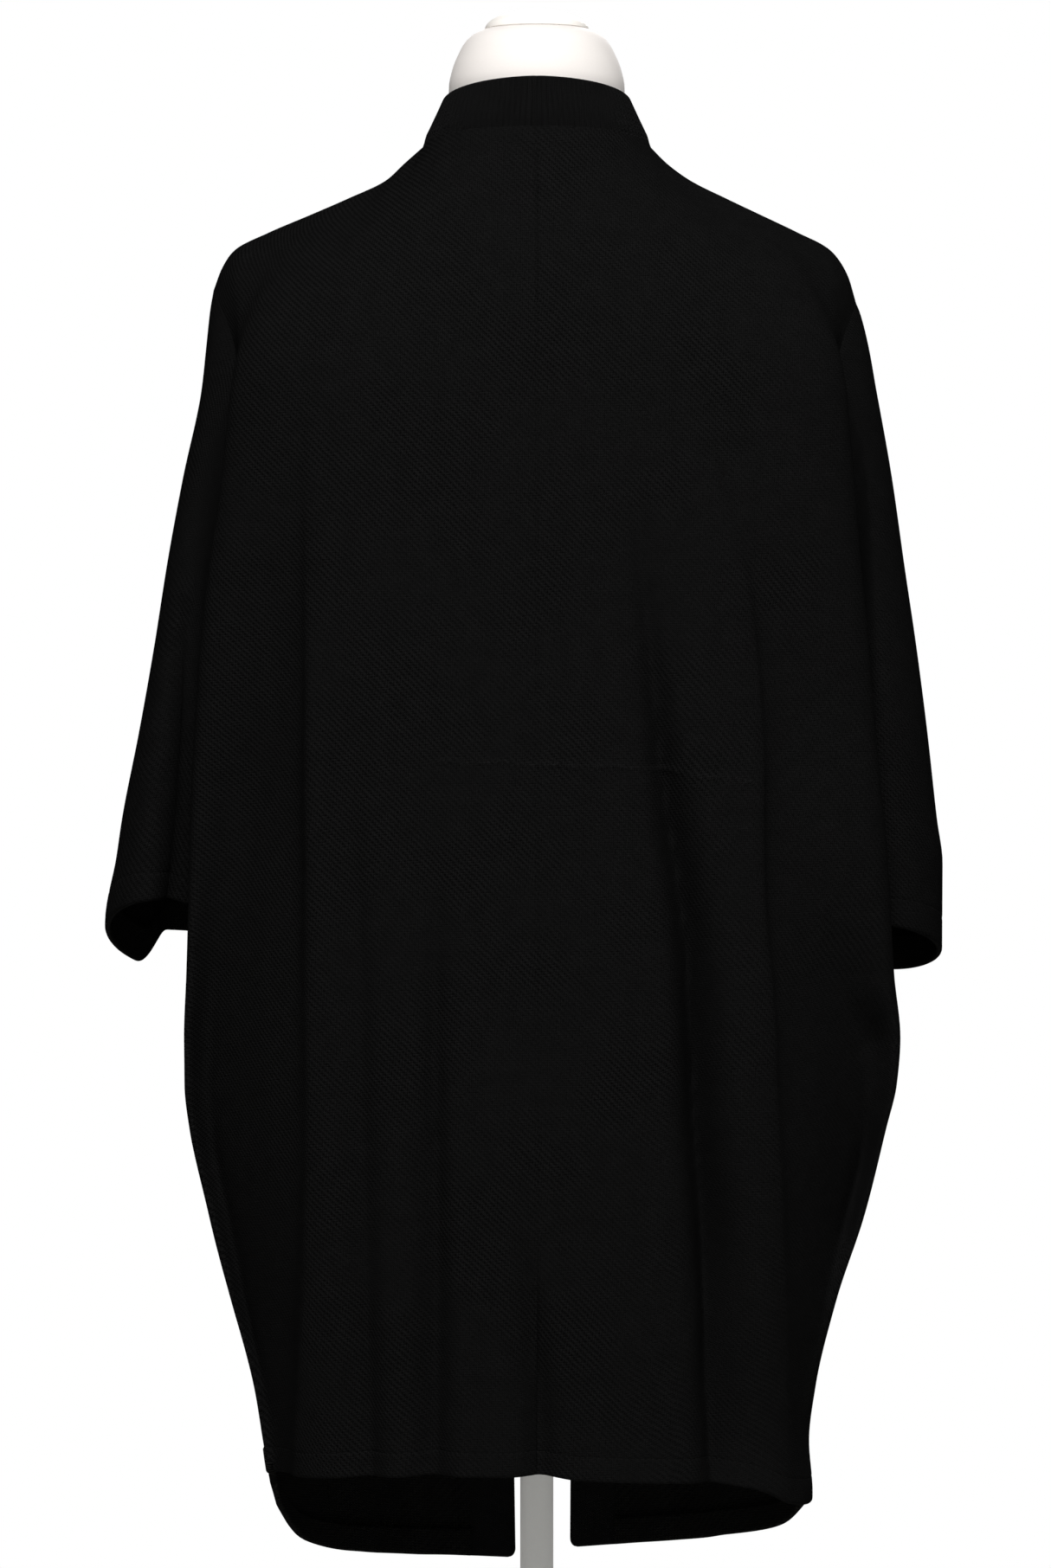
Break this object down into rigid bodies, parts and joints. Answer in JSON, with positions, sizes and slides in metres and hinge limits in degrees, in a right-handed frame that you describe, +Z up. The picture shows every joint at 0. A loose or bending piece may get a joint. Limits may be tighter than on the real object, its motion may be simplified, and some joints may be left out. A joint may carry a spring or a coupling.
{
  "type": "cardigan on a dress form",
  "caption": "Open-front cocoon cardigan in black textured knit, worn by a limbless dress form on a round floor stand.",
  "frame": {"origin": "middle of the base's underside, on the floor", "axes": "+Z up along the pole; the garment's front faces -Y and its back +Y; the wearer's left is +X"},
  "size_m": [0.5364, 0.35, 1.5015],
  "materials": {
    "knit": "matt black textured jacquard knit",
    "form_cover": "tight warm white jersey cover",
    "neck_cap": "satin off-white moulded cap",
    "stand": "satin white powder coat"
  },
  "bodies": {
    "root": {"back_left": "knit", "back_right": "knit", "front_left": "knit", "front_right": "knit", "sleeve_left": "knit", "sleeve_right": "knit", "band_left": "knit", "band_right": "knit", "form_torso": "form_cover", "form_neck_cap": "neck_cap", "stand_pole": "stand", "stand_base": "stand"}
  },
  "joints": []
}
